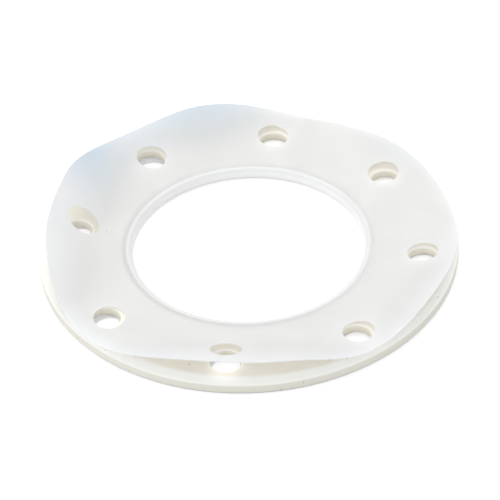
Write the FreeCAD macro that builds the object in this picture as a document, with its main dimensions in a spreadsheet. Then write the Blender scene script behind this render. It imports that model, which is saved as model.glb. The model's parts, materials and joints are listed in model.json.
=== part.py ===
"""Full face envelope gasket: a PTFE sheet folded round the bore over a rubber filler ring.

The origin is the centre of the lower face, on the axis of the bore. +Z points up through the bore,
towards the loose upper leaf. All lengths are in millimetres and all angles in degrees.
"""
import FreeCAD, Part
import Sketcher
import math
import os

Vector = FreeCAD.Vector
UP = Vector(0, 0, 1)

# Driving dimensions: alias, value, what it measures.
DIMENSIONS = [
    ("bore_diameter", 116.0, "clear bore inside the envelope"),
    ("bolt_circle_diameter", 175.0, "circle through the bolt hole centres"),
    ("bolt_hole_count", 8.0, "bolt holes round the circle"),
    ("edge_distance", 17.5, "from the bolt circle to the outside of the filler"),
    ("leaf_setback", 0.5, "how far the leaves, laid flat, stay inside the filler's outside"),
    ("leaf_hole_diameter", 16.0, "bolt hole punched through the leaves"),
    ("filler_hole_diameter", 19.0, "bolt hole moulded in the filler"),
    ("bolt_phase", -9.3, "turn of the first leaf hole from +X"),
    ("filler_lag", 0.8, "how far the filler sits turned behind the leaf holes"),
    ("filler_thickness", 5.0, "thickness of the rubber"),
    ("sheet_thickness", 0.5, "wall of the envelope"),
    ("pocket_play", 0.1, "height left in the envelope's pocket over the filler"),
    ("fold_bevel", 1.45, "flat that breaks each outside corner of the fold"),
    ("fold_play", 2.45, "gap between the folded wall and the filler"),
    ("crease_reach", 6.05, "from the bore to the crease where the upper leaf starts to lift"),
    ("knee_reach", 7.3, "from the crease to the knee of the upper leaf's curve"),
    ("punch_reach", 4.0, "how far the punch passes a leaf on each side"),
    ("rim_bevel", 0.8, "flat that breaks the filler's outer rims"),
    ("mouth_bevel", 0.7, "flat that breaks the filler's hole mouths"),
]

# Lift of the upper leaf at equal steps round the ring, the first at +X: the angle between the land
# and the free rim.
LEAF_CURLS = [
    2.5, 2.5, 6.5, 7.0, 2.5, 2.5,
    13.5, 18.5, 12.5, 17.5, 32.5, 42.0,
    32.0, 23.5, 4.0, 2.5, 13.5, 21.0,
    21.0, 16.5, 5.0, 8.0, 13.0, 9.0,
]
JOINING_TOLERANCE = 0.005

# Sizes that both pieces share.
OUTSIDE_RADIUS = "Dimensions.bolt_circle_diameter / 2 + Dimensions.edge_distance"
LEAF_RADIUS = OUTSIDE_RADIUS + " - Dimensions.leaf_setback"
POCKET_HEIGHT = "Dimensions.filler_thickness + Dimensions.pocket_play"
BORE_RADIUS = "Dimensions.bore_diameter / 2"


def curl_alias(index):
    return "leaf_curl_%02d" % (index + 1)


def make_sheet(document):
    """Spreadsheet that holds each driving dimension under a name of its own."""
    sheet = document.addObject("Spreadsheet::Sheet", "Dimensions")
    rows = list(DIMENSIONS)
    for index, curl in enumerate(LEAF_CURLS):
        rows.append((curl_alias(index), curl, "lift of the upper leaf at step %d" % (index + 1)))
    for number, (alias, value, meaning) in enumerate(rows, start=1):
        sheet.set("A%d" % number, meaning)
        sheet.set("B%d" % number, str(value))
        sheet.setAlias("B%d" % number, alias)
    document.recompute()
    return sheet


def origin_feature(body, role):
    for feature in body.Origin.OriginFeatures:
        if feature.Role == role:
            return feature
    raise ValueError("the body has no " + role)


def new_sketch(body, name, role):
    sketch = body.newObject("Sketcher::SketchObject", name)
    sketch.AttachmentSupport = [(origin_feature(body, role), "")]
    sketch.MapMode = "FlatFace"
    return sketch


def drive(sketch, name, constraint, expression):
    """Add a dimension to a sketch and bind it to the sheet."""
    index = sketch.addConstraint(constraint)
    sketch.renameConstraint(index, name)
    sketch.setExpression("Constraints." + name, expression)


def revolve(body, sketch, name):
    feature = body.newObject("PartDesign::Revolution", name)
    feature.Profile = sketch
    feature.ReferenceAxis = (sketch, ["V_Axis"])
    feature.Angle = 360.0
    return feature


def repeat_round_bore(body, feature, name):
    """Copy a feature to every bolt position."""
    pattern = body.newObject("PartDesign::PolarPattern", name)
    pattern.Originals = [feature]
    pattern.Axis = (origin_feature(body, "Z_Axis"), [""])
    pattern.Angle = 360.0
    pattern.setExpression("Occurrences", "Dimensions.bolt_hole_count")
    body.Tip = pattern
    return pattern


def bolt_circle_sketch(body, name, diameter_alias):
    """One round hole on +X at the bolt circle. The body's own Placement turns it to its place."""
    sketch = new_sketch(body, name, "XY_Plane")
    sketch.addGeometry(Part.Circle(Vector(1, 0, 0), UP, 1), False)
    sketch.addConstraint(Sketcher.Constraint("PointOnObject", 0, 3, -1))
    drive(sketch, "reach", Sketcher.Constraint("DistanceX", -1, 1, 0, 3, 1), "Dimensions.bolt_circle_diameter / 2")
    drive(sketch, "hole", Sketcher.Constraint("Diameter", 0, 2), "Dimensions." + diameter_alias)
    return sketch


def circular_edges(shape):
    names = []
    for number, edge in enumerate(shape.Edges, start=1):
        if edge.isClosed() and isinstance(edge.Curve, Part.Circle):
            names.append(("Edge%d" % number, edge.Curve.Radius))
    return names


def bevel_circles(body, base, name, radius, size):
    """Break the edge of every full circle of one radius."""
    base.recompute()
    edges = [edge for edge, edge_radius in circular_edges(base.Shape) if abs(edge_radius - radius) < 1e-6]
    chamfer = body.newObject("PartDesign::Chamfer", name)
    chamfer.Base = (base, edges)
    chamfer.setExpression("Size", size)
    body.Tip = chamfer
    return chamfer


def square_outline(sketch, corners):
    """Closed outline whose lines run up or down and across in turn, the first of them across."""
    for first, second in zip(corners, corners[1:] + corners[:1]):
        sketch.addGeometry(Part.LineSegment(Vector(*first, 0), Vector(*second, 0)), False)
    for line in range(len(corners)):
        sketch.addConstraint(Sketcher.Constraint("Coincident", line, 2, (line + 1) % len(corners), 1))
        sketch.addConstraint(Sketcher.Constraint("Vertical" if line % 2 else "Horizontal", line))


def make_filler(document, sheet):
    """Rubber ring with broken rims, moulded bolt holes and a bore that clears the fold."""
    body = document.addObject("PartDesign::Body", "FillerRing")
    body.Label = "filler_ring"
    section = new_sketch(body, "FillerSection", "XZ_Plane")
    square_outline(section, [(1, 1), (2, 1), (2, 2), (1, 2)])
    rest = Sketcher.Constraint("DistanceY", -1, 1, 0, 1, 1)
    drive(section, "rest", rest, "Dimensions.sheet_thickness")
    drive(section, "thickness", Sketcher.Constraint("DistanceY", 1, 1, 1, 2, 1), "Dimensions.filler_thickness")
    drive(section, "outside", Sketcher.Constraint("DistanceX", -1, 1, 1, 1, 2), OUTSIDE_RADIUS)
    inside = BORE_RADIUS + " + Dimensions.sheet_thickness + Dimensions.fold_play"
    drive(section, "inside", Sketcher.Constraint("DistanceX", -1, 1, 0, 1, 1), inside)
    revolve(body, section, "Ring")
    hole = bolt_circle_sketch(body, "FillerHole", "filler_hole_diameter")
    pocket = body.newObject("PartDesign::Pocket", "BoltHole")
    pocket.Profile = hole
    pocket.Type = "ThroughAll"
    pocket.Reversed = True
    holes = repeat_round_bore(body, pocket, "BoltHoles")
    document.recompute()
    rims = bevel_circles(body, holes, "OuterRims", section.getDatum("outside").Value, "Dimensions.rim_bevel")
    bevel_circles(body, rims, "HoleMouths", sheet.filler_hole_diameter / 2, "Dimensions.mouth_bevel")
    turn = Vector(0, 0, 0), FreeCAD.Rotation(UP, sheet.bolt_phase - sheet.filler_lag)
    body.Placement = FreeCAD.Placement(*turn)
    body.setExpression("Placement.Rotation.Angle", "Dimensions.bolt_phase - Dimensions.filler_lag")
    document.recompute()
    return body


def make_fold(document, sheet):
    """Turned part of the envelope: lower leaf, folded bore wall and the flat land above it."""
    body = document.addObject("PartDesign::Body", "EnvelopeFold")
    section = new_sketch(body, "FoldSection", "XZ_Plane")
    square_outline(section, [(2, 0), (5, 0), (5, 1), (3, 1), (3, 3), (4, 3), (4, 4), (2, 4)])
    section.addConstraint(Sketcher.Constraint("PointOnObject", 0, 1, -1))
    drive(section, "sheet", Sketcher.Constraint("DistanceY", 1, 1, 1, 2, 1), "Dimensions.sheet_thickness")
    drive(section, "land_sheet", Sketcher.Constraint("DistanceY", 5, 1, 5, 2, 1), "Dimensions.sheet_thickness")
    drive(section, "wall", Sketcher.Constraint("DistanceX", 7, 2, 3, 1, 1), "Dimensions.sheet_thickness")
    drive(section, "pocket", Sketcher.Constraint("DistanceY", 3, 1, 3, 2, 2), POCKET_HEIGHT)
    drive(section, "bore", Sketcher.Constraint("DistanceX", -1, 1, 7, 2, 2), BORE_RADIUS)
    drive(section, "land", Sketcher.Constraint("DistanceX", 7, 1, 5, 1, 2), "Dimensions.crease_reach")
    drive(section, "leaf", Sketcher.Constraint("DistanceX", -1, 1, 1, 1, 5), LEAF_RADIUS)
    fold = revolve(body, section, "Fold")
    document.recompute()
    wall_outside = section.getDatum("bore").Value + sheet.sheet_thickness
    outer = bevel_circles(body, fold, "BoreCorners", section.getDatum("bore").Value, "Dimensions.fold_bevel")
    same_wall = "Dimensions.fold_bevel - (2 - sqrt(2)) * Dimensions.sheet_thickness"
    bevel_circles(body, outer, "PocketCorners", wall_outside, same_wall)
    document.recompute()
    return body


def closed_curve(points):
    """Smooth closed curve through points at equal shares of the turn."""
    shares = [index / len(points) for index in range(len(points) + 1)]
    curve = Part.BSplineCurve()
    curve.interpolate(Points=points, PeriodicFlag=True, Parameters=shares)
    return curve


def outward(share):
    return Vector(math.cos(2 * math.pi * share), math.sin(2 * math.pi * share), 0)


def leaf_line(direction, curl, start, legs, outset):
    """Poles of a radial line of the leaf: a flat leg from the crease to the knee, then one at the curl."""
    knee = start + direction * (legs[0] + outset)
    rim = knee + (direction * math.cos(curl) + UP * math.sin(curl)) * (legs[1] + outset)
    return [start, knee, (knee + rim) * 0.5, rim]


def leaf_side(profiles):
    """Surface through radial lines: each of their poles runs round the ring on a smooth closed curve."""
    rails = [closed_curve(list(points)) for points in zip(*profiles)]
    crease = rails[0]
    degree = len(rails) - 1
    poles = [rail.getPoles() for rail in rails]
    radial = [len(rails)] * 2, [0.0, 1.0]
    surface = Part.BSplineSurface()
    surface.buildFromPolesMultsKnots(poles, radial[0], crease.getMultiplicities(), radial[1], crease.getKnots(),
                                     False, True, degree, crease.Degree)
    return surface


def closed_edges(face):
    """The inner and the outer boundary of a leaf surface."""
    return sorted((edge for edge in face.Edges if edge.isClosed()), key=lambda edge: edge.Length)


def upper_leaf_sides(sheet, crease, leaf_width, under_height):
    """Both sides of the wavy leaf, from the crease to the free rim."""
    upper, under = [], []
    for index in range(len(LEAF_CURLS)):
        direction = outward(index / len(LEAF_CURLS))
        curl = math.radians(sheet.get(curl_alias(index)))
        # The curve is shorter than the line of its poles, by this share for a turn of this size.
        legs = sheet.knee_reach, leaf_width * (1 + curl ** 2 / 20) - sheet.knee_reach
        under_start = direction * crease + UP * under_height
        upper_start = under_start + UP * sheet.sheet_thickness
        upper.append(leaf_line(direction, curl, upper_start, legs, 0))
        under.append(leaf_line(direction, curl, under_start, legs, sheet.sheet_thickness * math.tan(curl / 2)))
    return leaf_side(upper), leaf_side(under)


def leaf_solid(upper_side, under_side):
    sides = [upper_side.toShape(), under_side.toShape()]
    ends = [Part.makeRuledSurface(*pair) for pair in zip(closed_edges(sides[0]), closed_edges(sides[1]))]
    skin = Part.makeCompound(sides + ends)
    skin.sewShape(JOINING_TOLERANCE)
    return Part.makeSolid(skin.Shells[0])


def add_punch(document, sheet, name, point, normal):
    """Round punch through one leaf at a point, square to it."""
    punch = document.addObject("Part::Cylinder", name)
    punch.setExpression("Radius", "Dimensions.leaf_hole_diameter / 2")
    punch.setExpression("Height", "2 * Dimensions.punch_reach")
    punch.Placement = FreeCAD.Placement(point - normal * sheet.punch_reach, FreeCAD.Rotation(UP, normal))
    return punch


def make_punches(document, sheet, upper_side, crease):
    """A punch at each bolt hole for either leaf: the sheet is punched flat, before the leaf lifts."""
    bolt_radius = sheet.bolt_circle_diameter / 2
    count = int(sheet.bolt_hole_count)
    punches = []
    for index in range(count):
        share = (sheet.bolt_phase / 360 + index / count) % 1
        lower_point = outward(share) * bolt_radius + UP * (sheet.sheet_thickness / 2)
        punches.append(add_punch(document, sheet, "LowerPunch%d" % (index + 1), lower_point, UP))
        across = upper_side.vIso(share).parameterAtDistance(bolt_radius - crease, 0)
        normal = upper_side.normal(across, share)
        if normal.z < 0:
            normal = -normal
        upper_point = upper_side.value(across, share)
        punches.append(add_punch(document, sheet, "UpperPunch%d" % (index + 1), upper_point, normal))
    tools = document.addObject("Part::MultiFuse", "Punches")
    tools.Shapes = punches
    return tools


def make_envelope(document, sheet):
    """PTFE envelope: lower leaf, folded bore wall and lifted upper leaf, with punched bolt holes."""
    fold = make_fold(document, sheet)
    section = document.getObject("FoldSection")
    crease = section.getDatum("bore").Value + sheet.crease_reach
    leaf_width = section.getDatum("leaf").Value - crease
    under_height = sheet.sheet_thickness + section.getDatum("pocket").Value
    upper_side, under_side = upper_leaf_sides(sheet, crease, leaf_width, under_height)
    folded = document.addObject("Part::Feature", "FoldedSheet")
    folded.Shape = fold.Shape.fuse([leaf_solid(upper_side, under_side)], JOINING_TOLERANCE)
    envelope = document.addObject("Part::Cut", "Envelope")
    envelope.Base = folded
    envelope.Tool = make_punches(document, sheet, upper_side, crease)
    envelope.Label = "ptfe_envelope"
    document.recompute()
    return envelope


def check(document, parts):
    for item in document.Objects:
        if "Invalid" in item.State or "Error" in item.State:
            raise RuntimeError("%s did not build: %s" % (item.Name, item.State))
    for part in parts:
        shape = part.Shape
        if shape.isNull() or not shape.isValid() or len(shape.Solids) != 1:
            raise RuntimeError("%s has no sound solid" % part.Label)


def main():
    document = FreeCAD.newDocument("EnvelopeGasket")
    sheet = make_sheet(document)
    parts = [make_filler(document, sheet), make_envelope(document, sheet)]
    document.recompute()
    check(document, parts)
    os.makedirs("parts", exist_ok=True)
    for part in parts:
        part.Shape.exportStep("parts/%s.step" % part.Label)
        print(part.Label, round(part.Shape.Volume, 1), "mm3")


main()
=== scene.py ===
import json
import math

import bmesh
import bpy
import numpy as np
from mathutils import Matrix, Vector


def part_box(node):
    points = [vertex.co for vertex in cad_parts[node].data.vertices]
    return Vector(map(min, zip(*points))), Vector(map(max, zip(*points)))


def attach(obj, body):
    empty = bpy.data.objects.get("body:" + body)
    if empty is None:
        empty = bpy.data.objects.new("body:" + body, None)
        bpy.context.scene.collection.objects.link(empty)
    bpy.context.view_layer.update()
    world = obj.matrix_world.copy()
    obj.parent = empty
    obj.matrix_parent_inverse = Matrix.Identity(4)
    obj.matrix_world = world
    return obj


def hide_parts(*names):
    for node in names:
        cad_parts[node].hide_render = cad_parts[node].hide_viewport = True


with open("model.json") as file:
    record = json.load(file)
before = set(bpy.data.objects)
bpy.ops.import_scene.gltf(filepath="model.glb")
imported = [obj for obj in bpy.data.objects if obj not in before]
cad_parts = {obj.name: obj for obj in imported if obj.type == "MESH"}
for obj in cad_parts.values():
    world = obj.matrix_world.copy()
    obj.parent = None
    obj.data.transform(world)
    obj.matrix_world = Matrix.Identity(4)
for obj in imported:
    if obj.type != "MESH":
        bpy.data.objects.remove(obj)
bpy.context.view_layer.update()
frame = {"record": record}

MM_PER_METRE = 1000
MOUNTS = {mount["name"]: mount for mount in frame["record"]["mounts"]}
HOLE_COUNT = MOUNTS["bolt_holes"]["dims"]["count"]
BOLT_CIRCLE_RADIUS = MOUNTS["bolt_holes"]["dims"]["pcd_mm"] / 2 / MM_PER_METRE
BORE_RADIUS = MOUNTS["bore"]["dims"]["r_mm"] / MM_PER_METRE
FILLER_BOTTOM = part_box("filler_ring")[0][2]
FILLER_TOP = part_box("filler_ring")[1][2]

# Envelope, from the bore outwards.
SHEET_THICKNESS = 0.0005
POCKET_PLAY = 0.0001
FOLD_TOP = FILLER_TOP + POCKET_PLAY + SHEET_THICKNESS
BEND_RADIUS = 0.00245
CREASE_REACH = 0.00605
CREASE_RADIUS = BORE_RADIUS + CREASE_REACH
LEAF_RADIUS = 0.1043
LEAF_WIDTH = LEAF_RADIUS - CREASE_RADIUS
KNEE_REACH = 0.0073
# Angle between the land and the free rim at equal steps round the ring, in degrees, the first at +X.
LEAF_CURLS = [
    2.5, 2.5, 6.5, 7.0, 2.5, 2.5,
    13.5, 18.5, 12.5, 17.5, 32.5, 42.0,
    32.0, 23.5, 4.0, 2.5, 13.5, 21.0,
    21.0, 16.5, 5.0, 8.0, 13.0, 9.0,
]
# Where the leaf curls, it is longer by the square of the curl, over this.
CURL_STRETCH = 20
LEAF_HOLE_RADIUS = 0.0079
LEAF_HOLE_CIRCLE_RADIUS = 0.0866
LEAF_HOLE_PHASE = math.radians(-9.7)
# How far each hole lies off its place in the pattern. The one under the steepest wave is drawn long.
LEAF_HOLE_SLIPS_MM = [
    (1.0, -1.4), (-0.1, -1.4), (1.0, -1.4), (2.4, -1.2),
    (1.0, -1.4), (1.0, -1.4), (1.0, -1.4), (1.0, -1.4),
]
STEEP_HOLE = 4
STEEP_HOLE_DRAW = 1.14
# How far each hole of the lower leaf lies behind the one above it, along Y.
LOWER_HOLE_SLIPS_MM = [-0.8, -2.0, -2.0, -1.5, 4.0, -0.9, -0.5, 0.2]

# Filler. Its holes are wide at the mouth, narrower at the foot, and each a little off its place.
FILLER_RADIUS = 0.105
FILLER_BORE_RADIUS = 0.06095
FILLER_HOLE_PHASE = math.radians(-10.3)
RIM_ROUND = 0.0008
MOUTH_RADIUS = 0.0094
MOUTH_ROUND = 0.0018
HOLE_TAPER = 0.0006
FILLER_HOLE_SLIPS_MM = [
    (0, -1.4), (-0.6, -4.4), (0, -4.6), (1.2, -0.2),
    (0, 2.5), (0, -0.7), (1.8, 0), (0, -0.9),
]

# Fineness of the meshes, and the turn of the sectors that the envelope's meshes are made in.
SECTOR_PHASE = math.radians(-10)
ARC_STEPS = 26
SIDE_STEPS = 12
RING_STEPS = 12
RING_CROWDING = 1.3
ROUND_STEPS = 6
LENGTH_STEPS = 40
SLOPE_NUDGE = 1e-4
WELD_DISTANCE = 1e-6
SHARP_EDGE = math.radians(40)

# The photograph's camera, found by fitting the rings and holes in it.
CAMERA_ELEVATION = math.radians(40.103)
CAMERA_ROLL = math.radians(-2.933)
CAMERA_DISTANCE = 1.6716
CAMERA_TARGET = Vector((0.000588, 0.001669, 0.0))
CAMERA_LENS_MM = 239.95
CAMERA_SENSOR_MM = 36.0
CAMERA_CLIP_END = 10

# Lamps: name, place, width and power in watts.
LAMPS = [
    ("overhead", (0.1, 0.95, 1.3), 1.2, 9.0),
    ("left", (-1.3, -0.1, 0.7), 0.8, 0.5),
]
LAMP_COLOUR = (1.0, 0.985, 0.95)
ROOM_COLOUR = (0.98, 0.99, 1.0, 1)
# The room is a little darker on the right: where its light falls off, and its strengths.
ROOM_DARK_SIDE = (0.93, 0.0, -0.37)
ROOM_EDGES = -0.2, 0.8
ROOM_STRENGTHS = 1.01, 0.54
# Light crosses the sheet's two sides and comes back from the rubber, so it takes many turns.
SHEET_BOUNCES = 20
DIFFUSE_BOUNCES = 10

# Floor, a hair below the sheet.
FLOOR_LEVEL = -0.00005
FLOOR_REACH = 3.0
FLOOR_TONES = (0.79, 0.79, 0.80, 1), (0.81, 0.81, 0.82, 1)
FLOOR_MOTTLE = 3
FLOOR_ROUGHNESS = 0.9
FLOOR_GLOW = 0.35
WHITE = (1, 1, 1, 1)

# Colours.
SHEET = (0.947, 0.952, 0.964, 1)
SHEET_WORN = (0.936, 0.941, 0.952, 1)
# Painted shade: the sheet greys where it stands clear of the rubber.
SHEET_RAISED_SHADE = (0.905, 0.909, 0.918, 1)
# Painted shade, grey-blue, where the leaf stands clear behind.
SHEET_RAISED_BEHIND_SHADE = (0.75, 0.81, 0.865, 1)
# Painted shade in a band beside the bore.
SHEET_SHADE_BESIDE_THE_BORE = (0.895, 0.90, 0.905, 1)
# Painted shade on the lip beside the fold.
SHEET_FOLD_LIP_SHADE = (0.87, 0.873, 0.875, 1)
# Painted shade on the fold's crest, lighter behind.
SHEET_FOLD_CREST_SHADE = (0.76, 0.763, 0.765, 1)
SHEET_FOLD_CREST_BEHIND_SHADE = (0.83, 0.833, 0.835, 1)
# Painted light: the fold's wall is lightened.
SHEET_FOLD_WALL_LIGHT = (0.99, 0.987, 0.978, 1)
# Painted shade along the foot of the fold, where it meets the floor.
SHEET_FOLD_FOOT_SHADE = (0.92, 0.90, 0.86, 1)
SHEET_MARK = (0.45, 0.40, 0.33, 1)
RUBBER = (0.895, 0.855, 0.755, 1)
RUBBER_DARKER = (0.87, 0.825, 0.715, 1)
# Painted highlight: the rubber's rim outside the leaf's shadow, and its rounded edges.
RUBBER_PAINTED_HIGHLIGHT = (0.99, 0.98, 0.935, 1)
# Olive tint of the cut outer wall, darkened as painted shade.
RUBBER_WALL_TINT_AND_SHADE = (0.83, 0.815, 0.73, 1)
RUBBER_FOOT_TINT_AND_SHADE = (0.84, 0.82, 0.72, 1)
RUBBER_HOLE = (0.87, 0.84, 0.73, 1)
# Painted shade: the hole walls darken towards their foot.
RUBBER_HOLE_FOOT_SHADE = (0.72, 0.68, 0.56, 1)
RUBBER_SPECK = (0.16, 0.12, 0.07, 1)

# Noise patterns: how fine, how detailed and how stretched. Where one is used as relief, its depth follows.
SHEET_CLOUDS = 45, 4
SHEET_GLOSS = 120, 3
SHEET_DENTS, SHEET_DENT_DEPTH = (38, 1), 0.0006
SHEET_LINES, SHEET_LINE_DEPTH = (260, 3, (1.0, 0.04, 0.04)), 0.00004
SHEET_GRAIN, SHEET_GRAIN_DEPTH = (1400, 2), 0.00002
RUBBER_MOTTLE = 90, 5
RUBBER_GLOSS = 200, 2
RUBBER_STRIPES, RUBBER_STRIPE_DEPTH = (620, 3, (1, 1, 0.03)), 0.0001
RUBBER_GRAIN, RUBBER_GRAIN_DEPTH = (1700, 2), 0.00006
# Specks: how fine their pattern of cells is, their size in cells, and the share of cells that can hold one.
SHEET_SPECKS = 95, 0.03, 0.5
RUBBER_SPECKS = 170, 0.06, 0.9
SPECK_CORE = 0.6
# Values of the noise between which one look turns into the other.
COLOUR_EDGES = 0.35, 0.65
GLOSS_EDGES = 0.3, 0.7
STRIPE_EDGES = 0.42, 0.7

# Where the sheet's looks change, each from and to: heights, then places along Y, then radii.
RAISED_SHADE_HEIGHTS = FOLD_TOP + 0.0005, FOLD_TOP + 0.006
RAISED_BEHIND_SHADE_HEIGHTS = FOLD_TOP + 0.001, FOLD_TOP + 0.014
FOLD_LINE_HEIGHTS = 0.0003, 0.0010
FOLD_CREST_HEIGHTS = 0.0040, 0.0060
RAISED_BEHIND_SHADE_PLACES = 0.015, 0.07
LIP_PLACES = -0.05, -0.02
CREST_BEHIND_PLACES = 0.02, 0.05
BESIDE_THE_BORE_RADII = 0.0618, 0.0648
LIP_RADII = 0.0610, 0.0620
FOLD_RADII = 0.0600, 0.0608
MATT_FOLD_RADII = 0.0606, 0.0630
WHITENED_FOLD_RADII = 0.0600, 0.0625
# The painted shade beside the bore fades from the front left to the rear right: X and Y added, and its
# shares.
FRONT_LEFT_PLACES = -0.06, 0.05
FRONT_LEFT_SHARES = 1.0, 0.1

# Where the rubber's looks change: radii, heights, and how level the surface is, 1 on its flat faces.
# Painted light on the rubber's rim, reaching further in at the front left.
PAINTED_RIM_LIGHT_SLIP = (-0.0010, -0.003, 0)
PAINTED_RIM_LIGHT_RADII = 0.1000, 0.1030
OUTSIDE_RADII = 0.1000, 0.1010
WALL_HEIGHTS = FILLER_BOTTOM + 0.0004, FILLER_TOP - 0.0008
WALL_LEVELS = 0.35, 0.6
EDGE_LEVELS = 0.8, 0.99

# Pairs of shares and roughnesses that a look fades between.
FALLING = 1.0, 0.0
PAINTED_EDGE_HIGHLIGHT_SHARES = 0.8, 0.0
STRIPE_SHARES = 0.0, 0.5
SHEET_THROUGH_SHARES = 0.03, 0.6
SHEET_ROUGHNESSES = 0.38, 0.5
MATT_FOLD_ROUGHNESSES = 0.9, 0.0
RUBBER_ROUGHNESSES = 0.6, 0.8


def smooth_round_the_ring(values):
    """Function of the angle: the smooth closed curve through values at equal steps of the turn."""
    count = len(values)
    step = 2 * math.pi / count
    values = np.array(values)
    bends = 6 * (np.roll(values, -1) - 2 * values + np.roll(values, 1)) / step ** 2
    system = 4 * np.eye(count) + np.roll(np.eye(count), 1, axis=0) + np.roll(np.eye(count), -1, axis=0)
    second = np.linalg.solve(system, bends)

    def value_at(angle):
        place = (np.asarray(angle) / step) % count
        left = np.floor(place).astype(int) % count
        right = (left + 1) % count
        after = place - np.floor(place)
        before = 1 - after
        curve = (before ** 3 - before) * second[left] + (after ** 3 - after) * second[right]
        return before * values[left] + after * values[right] + curve * step ** 2 / 6

    return value_at


curl_at = smooth_round_the_ring(np.radians(LEAF_CURLS))


def sector_outline(start, turn, inner, outer):
    """Points round one sector of a ring: its outer arc, a side, its inner arc and the other side."""
    arc = np.arange(ARC_STEPS) / ARC_STEPS
    side = np.arange(SIDE_STEPS) / SIDE_STEPS
    angles = np.concatenate([start + arc * turn, np.full(SIDE_STEPS, start + turn),
                             start + (1 - arc) * turn, np.full(SIDE_STEPS, start)])
    radii = np.concatenate([np.full(ARC_STEPS, outer), outer + side * (inner - outer),
                            np.full(ARC_STEPS, inner), inner + side * (outer - inner)])
    return np.stack([radii * np.cos(angles), radii * np.sin(angles)], axis=1)


def holed_ring(inner, outer, phase, hole_centres, hole_radius, draws):
    """Flat ring with holes, one to a sector. Returns points, quads and the loops of each edge.

    Every sector is filled by rings of quads between its own outline and its hole. A hole is round, or as
    much longer outwards from the axis as its draw says.
    """
    points, quads = [], []
    loops = {"holes": [], "inner": [], "outer": []}
    turn = 2 * math.pi / len(hole_centres)
    around = 2 * (ARC_STEPS + SIDE_STEPS)
    for number, centre in enumerate(hole_centres):
        outline = sector_outline(phase + (number - 0.5) * turn, turn, inner, outer)
        outward = centre / np.linalg.norm(centre)
        away = outline - centre
        away /= np.linalg.norm(away, axis=1)[:, None]
        reach = hole_radius * (away + (draws[number] - 1) * outward * (away @ outward)[:, None])
        edge = centre + reach
        base = len(points)
        for ring in range(RING_STEPS + 1):
            share = (ring / RING_STEPS) ** RING_CROWDING
            points.extend(edge + (outline - edge) * share)
        for ring in range(RING_STEPS):
            for k in range(around):
                after = (k + 1) % around
                low, high = base + ring * around, base + (ring + 1) * around
                quads.append((low + k, low + after, high + after, high + k))
        rim = base + RING_STEPS * around
        loops["holes"].append([base + k for k in range(around)])
        loops["outer"].append([rim + k for k in range(ARC_STEPS + 1)])
        loops["inner"].append([rim + (ARC_STEPS + SIDE_STEPS + k) for k in range(ARC_STEPS + 1)])
    return np.array(points), quads, loops


def ring_angles(phase):
    """Angles of the points on a ring's inner or outer edge, once round."""
    count = HOLE_COUNT * ARC_STEPS
    return phase - math.pi / HOLE_COUNT + np.arange(count) * 2 * math.pi / count


def hole_pattern(radius, phase, slips_mm):
    """Centres of the holes: evenly round a circle, and each off its place by its slip."""
    angles = phase + np.arange(HOLE_COUNT) * 2 * math.pi / HOLE_COUNT
    even = np.stack([radius * np.cos(angles), radius * np.sin(angles)], axis=1)
    return even + np.array(slips_mm) / MM_PER_METRE


class MeshParts:
    """Collects points and faces, and welds them into one smooth mesh with sharp cut edges."""

    def __init__(self):
        self.points, self.faces = [], []

    def add(self, points, faces):
        base = len(self.points)
        self.points.extend(tuple(point) for point in points)
        self.faces.extend(tuple(base + index for index in face) for face in faces)

    def strip(self, first, second, closed):
        """Band of quads between two rows of points."""
        count = len(first)
        last = count if closed else count - 1
        faces = [(k, (k + 1) % count, count + (k + 1) % count, count + k) for k in range(last)]
        self.add(list(first) + list(second), faces)

    def build(self, name):
        mesh = bpy.data.meshes.new(name)
        mesh.from_pydata(self.points, [], self.faces)
        for polygon in mesh.polygons:
            polygon.use_smooth = True
        weld(mesh)
        piece = bpy.data.objects.new(name, mesh)
        bpy.context.collection.objects.link(piece)
        return piece


def weld(mesh):
    """Joins points that coincide, turns the faces outwards and marks the edges that are cut sharp."""
    work = bmesh.new()
    work.from_mesh(mesh)
    bmesh.ops.remove_doubles(work, verts=work.verts, dist=WELD_DISTANCE)
    bmesh.ops.recalc_face_normals(work, faces=work.faces)
    for edge in work.edges:
        if len(edge.link_faces) == 2:
            edge.smooth = edge.calc_face_angle() < SHARP_EDGE
    work.to_mesh(mesh)
    work.free()


def leaf_middle(angle, along):
    """Middle of the upper leaf's sheet: a curve from the crease over the knee to the rim, at each angle."""
    curl = curl_at(angle)
    flank = LEAF_WIDTH * (1 + curl ** 2 / CURL_STRETCH) - KNEE_REACH
    knee = CREASE_RADIUS + KNEE_REACH
    run, rise = flank * np.cos(curl), flank * np.sin(curl)
    rest = 1 - along
    by_crease, by_knee = rest ** 3, 3 * rest ** 2 * along
    by_half, by_rim = 3 * rest * along ** 2, along ** 3
    reach = by_crease * CREASE_RADIUS + by_knee * knee + by_half * (knee + run / 2) + by_rim * (knee + run)
    lift = FOLD_TOP - SHEET_THICKNESS / 2 + by_half * rise / 2 + by_rim * rise
    return np.stack([reach * np.cos(angle), reach * np.sin(angle), lift], axis=-1)


def place_along(angle, share):
    """Where a point at a share of the flat leaf's width lies along the curve, measured by its length."""
    steps = np.linspace(0, 1, LENGTH_STEPS + 1)
    row = leaf_middle(angle[:, None], steps[None, :])
    lengths = np.linalg.norm(np.diff(row, axis=1), axis=2)
    reached = np.pad(np.cumsum(lengths, axis=1), ((0, 0), (1, 0)))
    return np.array([np.interp(part * run[-1], run, steps) for part, run in zip(share, reached)])


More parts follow.
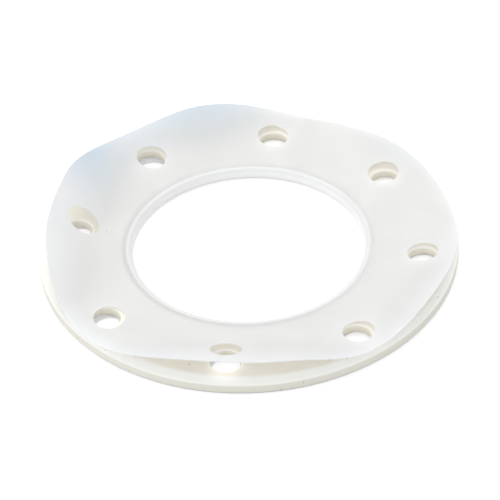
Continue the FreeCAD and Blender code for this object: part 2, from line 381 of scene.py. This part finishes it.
def leaf_skins(flat_points):
    """The two sides of the upper leaf over points of the flat blank."""
    angle = np.arctan2(flat_points[:, 1], flat_points[:, 0])
    share = (np.hypot(flat_points[:, 0], flat_points[:, 1]) - CREASE_RADIUS) / LEAF_WIDTH
    along = place_along(angle, share)
    outward = leaf_middle(angle, along + SLOPE_NUDGE) - leaf_middle(angle, along - SLOPE_NUDGE)
    round_it = leaf_middle(angle + SLOPE_NUDGE, along) - leaf_middle(angle - SLOPE_NUDGE, along)
    normal = np.cross(outward, round_it)
    normal /= np.linalg.norm(normal, axis=1)[:, None]
    middle = leaf_middle(angle, along)
    return middle + normal * SHEET_THICKNESS / 2, middle - normal * SHEET_THICKNESS / 2


def lower_skins(flat_points):
    """The two sides of the lower leaf: the outside of the fold, then its inside."""
    under = np.column_stack([flat_points, np.zeros(len(flat_points))])
    return under, under + np.array([0, 0, SHEET_THICKNESS])


def holed_sheet(parts, inner, skins, slips_mm, draws):
    """Leaf with punched holes, each slipped along Y: both sides, the walls of its holes and its free rim."""
    centres = hole_pattern(LEAF_HOLE_CIRCLE_RADIUS, LEAF_HOLE_PHASE, LEAF_HOLE_SLIPS_MM)
    centres[:, 1] += np.array(slips_mm) / MM_PER_METRE
    flat_points, quads, loops = holed_ring(inner, LEAF_RADIUS, SECTOR_PHASE, centres, LEAF_HOLE_RADIUS,
                                           draws)
    first, second = skins(flat_points)
    parts.add(first, quads)
    parts.add(second, quads)
    for loop in loops["holes"]:
        parts.strip(first[loop], second[loop], True)
    for loop in loops["outer"]:
        parts.strip(first[loop], second[loop], False)


def fold_profile(radius):
    """Section of the fold's skin, from the lower leaf round the bore to the crease."""
    centre = BORE_RADIUS + BEND_RADIUS
    low, high = BEND_RADIUS, FOLD_TOP - BEND_RADIUS
    turns = np.linspace(0, math.pi / 2, ROUND_STEPS + 1)
    points = [(centre - radius * math.sin(turn), low - radius * math.cos(turn)) for turn in turns]
    points += [(centre - radius * math.cos(turn), high + radius * math.sin(turn)) for turn in turns]
    points.append((CREASE_RADIUS, high + radius))
    return points


def add_fold(parts):
    """Folded wall and land, between the two leaves."""
    angles = ring_angles(SECTOR_PHASE)
    for radius in (BEND_RADIUS, BEND_RADIUS - SHEET_THICKNESS):
        rows = []
        for reach, height in fold_profile(radius):
            level = np.full(len(angles), height)
            rows.append(np.column_stack([reach * np.cos(angles), reach * np.sin(angles), level]))
        for first, second in zip(rows, rows[1:]):
            parts.strip(first, second, True)


def make_envelope():
    """The PTFE sheet: lower leaf, fold and wavy upper leaf, welded into one piece."""
    parts = MeshParts()
    round_holes = np.ones(HOLE_COUNT)
    drawn_holes = round_holes.copy()
    drawn_holes[STEEP_HOLE] = STEEP_HOLE_DRAW
    holed_sheet(parts, BORE_RADIUS + BEND_RADIUS, lower_skins, LOWER_HOLE_SLIPS_MM, round_holes)
    add_fold(parts)
    holed_sheet(parts, CREASE_RADIUS, leaf_skins, np.zeros(HOLE_COUNT), drawn_holes)
    return parts.build("envelope_sheet")


def rounded_wall(edge_round, taper):
    """Steps over a rounded edge, down the wall and back under it: how far out, and how high."""
    turns = np.linspace(0, math.pi / 2, ROUND_STEPS + 1)
    over = [(edge_round * math.sin(turn), FILLER_TOP - edge_round * (1 - math.cos(turn))) for turn in turns]
    spread = 1 + taper / edge_round
    under = [(out * spread, FILLER_TOP + FILLER_BOTTOM - height) for out, height in reversed(over)]
    return over + under


def make_filler():
    """The rubber ring: two flat faces, joined by the walls of its holes, its outside and its bore."""
    parts = MeshParts()
    centres = hole_pattern(BOLT_CIRCLE_RADIUS, FILLER_HOLE_PHASE, FILLER_HOLE_SLIPS_MM)
    flat_points, quads, loops = holed_ring(FILLER_BORE_RADIUS + RIM_ROUND, FILLER_RADIUS - RIM_ROUND,
                                           FILLER_HOLE_PHASE, centres, MOUTH_RADIUS, np.ones(HOLE_COUNT))
    for height in (FILLER_TOP, FILLER_BOTTOM):
        parts.add(np.column_stack([flat_points, np.full(len(flat_points), height)]), quads)
    edges = [(loop, centre, -1, MOUTH_ROUND, HOLE_TAPER) for loop, centre in zip(loops["holes"], centres)]
    edges += [(loop, (0, 0), 1, RIM_ROUND, 0) for loop in loops["outer"]]
    edges += [(loop, (0, 0), -1, RIM_ROUND, 0) for loop in loops["inner"]]
    for loop, centre, sign, edge_round, taper in edges:
        away = flat_points[loop] - np.array(centre)
        away /= np.linalg.norm(away, axis=1)[:, None]
        rows = [np.column_stack([flat_points[loop] + sign * out * away, np.full(len(loop), height)])
                for out, height in rounded_wall(edge_round, taper)]
        for first, second in zip(rows, rows[1:]):
            parts.strip(first, second, taper > 0)
    return parts.build("rubber_filler")


class Shading:
    """A material and short ways to add nodes to it. An input given as a socket is linked, else it is set."""

    def __init__(self, name):
        self.material = bpy.data.materials.new(name)
        self.material.use_nodes = True
        self.tree = self.material.node_tree
        self.shader = self.tree.nodes["Principled BSDF"]
        self.place = self.add("ShaderNodeTexCoord", {}).outputs["Object"]

    def set(self, node, inputs):
        """Links or sets each named or numbered input of a node."""
        for name, value in inputs.items():
            if isinstance(value, bpy.types.NodeSocket):
                self.tree.links.new(value, node.inputs[name])
            else:
                node.inputs[name].default_value = value

    def add(self, kind, inputs, **settings):
        node = self.tree.nodes.new(kind)
        for name, value in settings.items():
            setattr(node, name, value)
        self.set(node, inputs)
        return node

    def math(self, operation, first, second):
        return self.add("ShaderNodeMath", {0: first, 1: second}, operation=operation).outputs[0]

    def fade(self, value, low, high, first=0.0, second=1.0):
        """First where the value is below low, second where it is above high, and smooth between."""
        inputs = {"Value": value, "From Min": low, "From Max": high, "To Min": first, "To Max": second}
        return self.add("ShaderNodeMapRange", inputs, interpolation_type="SMOOTHSTEP").outputs["Result"]

    def blend(self, share, first, second):
        """Mix of two colours by the share of the second: inputs 6 and 7 of the node are its colours."""
        return self.add("ShaderNodeMix", {0: share, 6: first, 7: second}, data_type="RGBA").outputs[2]

    def noise(self, scale, detail=2.0, stretch=(1, 1, 1)):
        place = self.add("ShaderNodeMapping", {"Vector": self.place, "Scale": stretch}).outputs["Vector"]
        inputs = {"Vector": place, "Scale": scale, "Detail": detail}
        return self.add("ShaderNodeTexNoise", inputs).outputs[0]

    def axis(self, name):
        """Place along X, Y or Z, in metres."""
        return self.add("ShaderNodeSeparateXYZ", {"Vector": self.place}).outputs[name]

    def levelness(self):
        """1 where the surface lies flat, 0 where it is upright."""
        normal = self.add("ShaderNodeNewGeometry", {}).outputs["Normal"]
        upward = self.add("ShaderNodeSeparateXYZ", {"Vector": normal}).outputs["Z"]
        return self.math("ABSOLUTE", upward, 0.0)

    def radius(self, slip=(0, 0, 0)):
        """Distance from the axis of the bore, or from an axis that is moved against the slip."""
        inputs = {0: self.place, 1: (1, 1, 0), 2: slip}
        level = self.add("ShaderNodeVectorMath", inputs, operation="MULTIPLY_ADD").outputs[0]
        return self.add("ShaderNodeVectorMath", {0: level}, operation="LENGTH").outputs["Value"]

    def specks(self, scale, size, chance):
        """Small spots, in a share of the cells of a random pattern. Size is a share of a cell."""
        cells = self.add("ShaderNodeTexVoronoi", {"Vector": self.place, "Scale": scale})
        spot = self.fade(cells.outputs["Distance"], size * SPECK_CORE, size, *FALLING)
        pick = self.add("ShaderNodeSeparateColor", {"Color": cells.outputs["Color"]}).outputs[0]
        return self.math("MULTIPLY", spot, self.math("LESS_THAN", pick, chance))

    def bump(self, *layers):
        """Relief of several heights laid over one another, each with its depth in metres."""
        normal = None
        for height, depth in layers:
            inputs = {"Height": height, "Distance": depth, "Strength": 1.0}
            if normal:
                inputs["Normal"] = normal
            normal = self.add("ShaderNodeBump", inputs).outputs["Normal"]
        return normal


def ptfe_colour(sheet, height, radius):
    """Cloudy film, with painted shade where it stands clear (grey-blue behind), beside the bore and on the
    lip, crest and foot of the fold, and painted light on its wall.
    """
    back = sheet.axis("Y")
    clouds = sheet.fade(sheet.noise(*SHEET_CLOUDS), *COLOUR_EDGES)
    colour = sheet.blend(clouds, SHEET, SHEET_WORN)
    # Painted shade where the leaf stands clear.
    colour = sheet.blend(sheet.fade(height, *RAISED_SHADE_HEIGHTS), colour, SHEET_RAISED_SHADE)
    # Painted shade, grey-blue, where the leaf stands clear behind.
    raised_behind_shade = sheet.math("MULTIPLY", sheet.fade(height, *RAISED_BEHIND_SHADE_HEIGHTS),
                               sheet.fade(back, *RAISED_BEHIND_SHADE_PLACES))
    colour = sheet.blend(raised_behind_shade, colour, SHEET_RAISED_BEHIND_SHADE)
    # Painted shade beside the bore, strongest at the front left.
    front_left = sheet.fade(sheet.math("ADD", sheet.axis("X"), back), *FRONT_LEFT_PLACES, *FRONT_LEFT_SHARES)
    shade_beside_bore = sheet.math("MULTIPLY", sheet.fade(radius, *BESIDE_THE_BORE_RADII, *FALLING), front_left)
    colour = sheet.blend(shade_beside_bore, colour, SHEET_SHADE_BESIDE_THE_BORE)
    # Painted shade on the lip, except at the front.
    lip_shade = sheet.math("MULTIPLY", sheet.fade(radius, *LIP_RADII, *FALLING), sheet.fade(back, *LIP_PLACES))
    colour = sheet.blend(lip_shade, colour, SHEET_FOLD_LIP_SHADE)
    # Painted shade on the crest of the fold.
    crest_shade = sheet.blend(sheet.fade(back, *CREST_BEHIND_PLACES), SHEET_FOLD_CREST_SHADE, SHEET_FOLD_CREST_BEHIND_SHADE)
    # Painted light on the fold's wall.
    fold = sheet.blend(sheet.fade(height, *FOLD_CREST_HEIGHTS), SHEET_FOLD_WALL_LIGHT, crest_shade)
    # Painted shade along the fold's foot.
    fold = sheet.blend(sheet.fade(height, *FOLD_LINE_HEIGHTS), SHEET_FOLD_FOOT_SHADE, fold)
    colour = sheet.blend(sheet.fade(radius, *FOLD_RADII, *FALLING), colour, fold)
    return sheet.blend(sheet.specks(*SHEET_SPECKS), colour, SHEET_MARK)


def ptfe_material():
    """Skived film that lets light through, finely lined along one direction, matt and milkier at its fold."""
    sheet = Shading("ptfe_sheet")
    height, radius = sheet.axis("Z"), sheet.radius()
    colour = ptfe_colour(sheet, height, radius)
    normal = sheet.bump((sheet.noise(*SHEET_DENTS), SHEET_DENT_DEPTH),
                        (sheet.noise(*SHEET_LINES), SHEET_LINE_DEPTH),
                        (sheet.noise(*SHEET_GRAIN), SHEET_GRAIN_DEPTH))
    gloss = sheet.fade(sheet.noise(*SHEET_GLOSS), *GLOSS_EDGES, *SHEET_ROUGHNESSES)
    matt_fold = sheet.fade(radius, *MATT_FOLD_RADII, *MATT_FOLD_ROUGHNESSES)
    roughness = sheet.math("MAXIMUM", gloss, matt_fold)
    sheet.set(sheet.shader, {"Base Color": colour, "Roughness": roughness, "Normal": normal})
    through = sheet.add("ShaderNodeBsdfTranslucent", {"Color": colour, "Normal": normal})
    share = sheet.fade(radius, *WHITENED_FOLD_RADII, *SHEET_THROUGH_SHARES)
    mix = sheet.add("ShaderNodeMixShader", {0: share, 1: sheet.shader.outputs[0], 2: through.outputs[0]})
    sheet.set(sheet.tree.nodes["Material Output"], {"Surface": mix.outputs[0]})
    return sheet.material


def rubber_material():
    """Soft off-white rubber: mottled and specked, with painted light on its rims and rounded edges, olive and
    striped down its cut walls, which carry painted shade, darkest down the holes.
    """
    rubber = Shading("filler_rubber")
    level = rubber.levelness()
    stripes = rubber.noise(*RUBBER_STRIPES)
    mottle = rubber.fade(rubber.noise(*RUBBER_MOTTLE), *COLOUR_EDGES)
    colour = rubber.blend(mottle, RUBBER, RUBBER_DARKER)
    # Painted light: the top is paler beyond the leaf's shadow, towards the front left.
    painted_rim_light = rubber.fade(rubber.radius(PAINTED_RIM_LIGHT_SLIP), *PAINTED_RIM_LIGHT_RADII)
    colour = rubber.blend(painted_rim_light, colour, RUBBER_PAINTED_HIGHLIGHT)
    # Painted highlight on the rounded edges and hole mouths.
    painted_edge_highlight = rubber.fade(level, *EDGE_LEVELS, *PAINTED_EDGE_HIGHLIGHT_SHARES)
    colour = rubber.blend(painted_edge_highlight, colour, RUBBER_PAINTED_HIGHLIGHT)
    # Painted shade: the hole walls darken towards their foot.
    down = rubber.fade(rubber.axis("Z"), *WALL_HEIGHTS, *FALLING)
    outside = rubber.fade(rubber.radius(), *OUTSIDE_RADII)
    # The outer walls' olive tint is partly painted shade.
    wall = rubber.blend(outside, rubber.blend(down, RUBBER_HOLE, RUBBER_HOLE_FOOT_SHADE),
                        rubber.blend(down, RUBBER_WALL_TINT_AND_SHADE, RUBBER_FOOT_TINT_AND_SHADE))
    wall = rubber.blend(rubber.fade(stripes, *STRIPE_EDGES, *STRIPE_SHARES), wall, RUBBER_DARKER)
    colour = rubber.blend(rubber.fade(level, *WALL_LEVELS, *FALLING), colour, wall)
    colour = rubber.blend(rubber.specks(*RUBBER_SPECKS), colour, RUBBER_SPECK)
    normal = rubber.bump((stripes, RUBBER_STRIPE_DEPTH), (rubber.noise(*RUBBER_GRAIN), RUBBER_GRAIN_DEPTH))
    roughness = rubber.fade(rubber.noise(*RUBBER_GLOSS), *GLOSS_EDGES, *RUBBER_ROUGHNESSES)
    rubber.set(rubber.shader, {"Base Color": colour, "Roughness": roughness, "Normal": normal})
    return rubber.material


def dress(piece, node, material):
    """Gives a piece its material, and lets it stand for its CAD node."""
    piece.data.materials.append(material)
    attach(piece, "root")
    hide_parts(node)


def make_floor():
    """White paper floor, which keeps the shadow. Camera, glossy and transmission rays meet its glow."""
    mesh = bpy.data.meshes.new("floor")
    sides = (-1, -1), (1, -1), (1, 1), (-1, 1)
    mesh.from_pydata([(x * FLOOR_REACH, y * FLOOR_REACH, FLOOR_LEVEL) for x, y in sides], [], [(0, 1, 2, 3)])
    floor = bpy.data.objects.new("floor", mesh)
    bpy.context.collection.objects.link(floor)
    paper = Shading("white_floor")
    tone = paper.blend(paper.noise(FLOOR_MOTTLE), *FLOOR_TONES)
    rays = paper.add("ShaderNodeLightPath", {}).outputs
    seen = paper.math("MAXIMUM", rays["Is Camera Ray"], rays["Is Glossy Ray"])
    seen = paper.math("MAXIMUM", seen, rays["Is Transmission Ray"])
    paper.set(paper.shader, {"Base Color": tone, "Roughness": FLOOR_ROUGHNESS, "Emission Color": WHITE,
                             "Emission Strength": paper.math("MULTIPLY", seen, FLOOR_GLOW)})
    mesh.materials.append(paper.material)


def make_room():
    """Pale light from all round, which falls off towards the right."""
    world = bpy.data.worlds.new("studio")
    world.use_nodes = True
    nodes, links = world.node_tree.nodes, world.node_tree.links
    background = nodes["Background"]
    background.inputs["Color"].default_value = ROOM_COLOUR
    direction = nodes.new("ShaderNodeTexCoord")
    facing = nodes.new("ShaderNodeVectorMath")
    facing.operation = "DOT_PRODUCT"
    facing.inputs[1].default_value = ROOM_DARK_SIDE
    fall = nodes.new("ShaderNodeMapRange")
    for name, value in zip(("From Min", "From Max", "To Min", "To Max"), (*ROOM_EDGES, *ROOM_STRENGTHS)):
        fall.inputs[name].default_value = value
    links.new(direction.outputs["Generated"], facing.inputs[0])
    links.new(facing.outputs["Value"], fall.inputs["Value"])
    links.new(fall.outputs["Result"], background.inputs["Strength"])
    bpy.context.scene.world = world


def make_lamps():
    """One broad lamp overhead, a little behind, and a weak one from the left, both aimed at the origin."""
    for name, place, size, power in LAMPS:
        light = bpy.data.lights.new(name, "AREA")
        light.size = size
        light.energy = power
        light.color = LAMP_COLOUR
        lamp = bpy.data.objects.new(name, light)
        lamp.location = place
        lamp.rotation_euler = (-Vector(place)).to_track_quat("-Z", "Y").to_euler()
        bpy.context.collection.objects.link(lamp)


def allow_light_through_the_sheet():
    """Raises the limits of how often light may turn, as the film darkens without it."""
    cycles = bpy.context.scene.cycles
    cycles.max_bounces = SHEET_BOUNCES
    cycles.diffuse_bounces = DIFFUSE_BOUNCES
    cycles.transmission_bounces = SHEET_BOUNCES


def make_camera():
    """Looks along +Y and down at the gasket, rolled a little, as the photograph's camera does."""
    away = Vector((0, -math.cos(CAMERA_ELEVATION), math.sin(CAMERA_ELEVATION)))
    level_up = Vector((0, math.sin(CAMERA_ELEVATION), math.cos(CAMERA_ELEVATION)))
    level_right = Vector((1, 0, 0))
    right = level_right * math.cos(CAMERA_ROLL) + level_up * math.sin(CAMERA_ROLL)
    up = level_up * math.cos(CAMERA_ROLL) - level_right * math.sin(CAMERA_ROLL)
    data = bpy.data.cameras.new("camera")
    data.lens = CAMERA_LENS_MM
    data.sensor_width = CAMERA_SENSOR_MM
    data.clip_end = CAMERA_CLIP_END
    camera = bpy.data.objects.new("camera", data)
    turn = Matrix((right, up, away)).transposed().to_4x4()
    camera.matrix_world = Matrix.Translation(CAMERA_TARGET + away * CAMERA_DISTANCE) @ turn
    bpy.context.collection.objects.link(camera)
    bpy.context.scene.camera = camera


bpy.context.scene.view_settings.view_transform = "Standard"
allow_light_through_the_sheet()
make_camera()
make_room()
make_lamps()
make_floor()
dress(make_envelope(), "ptfe_envelope", ptfe_material())
dress(make_filler(), "filler_ring", rubber_material())
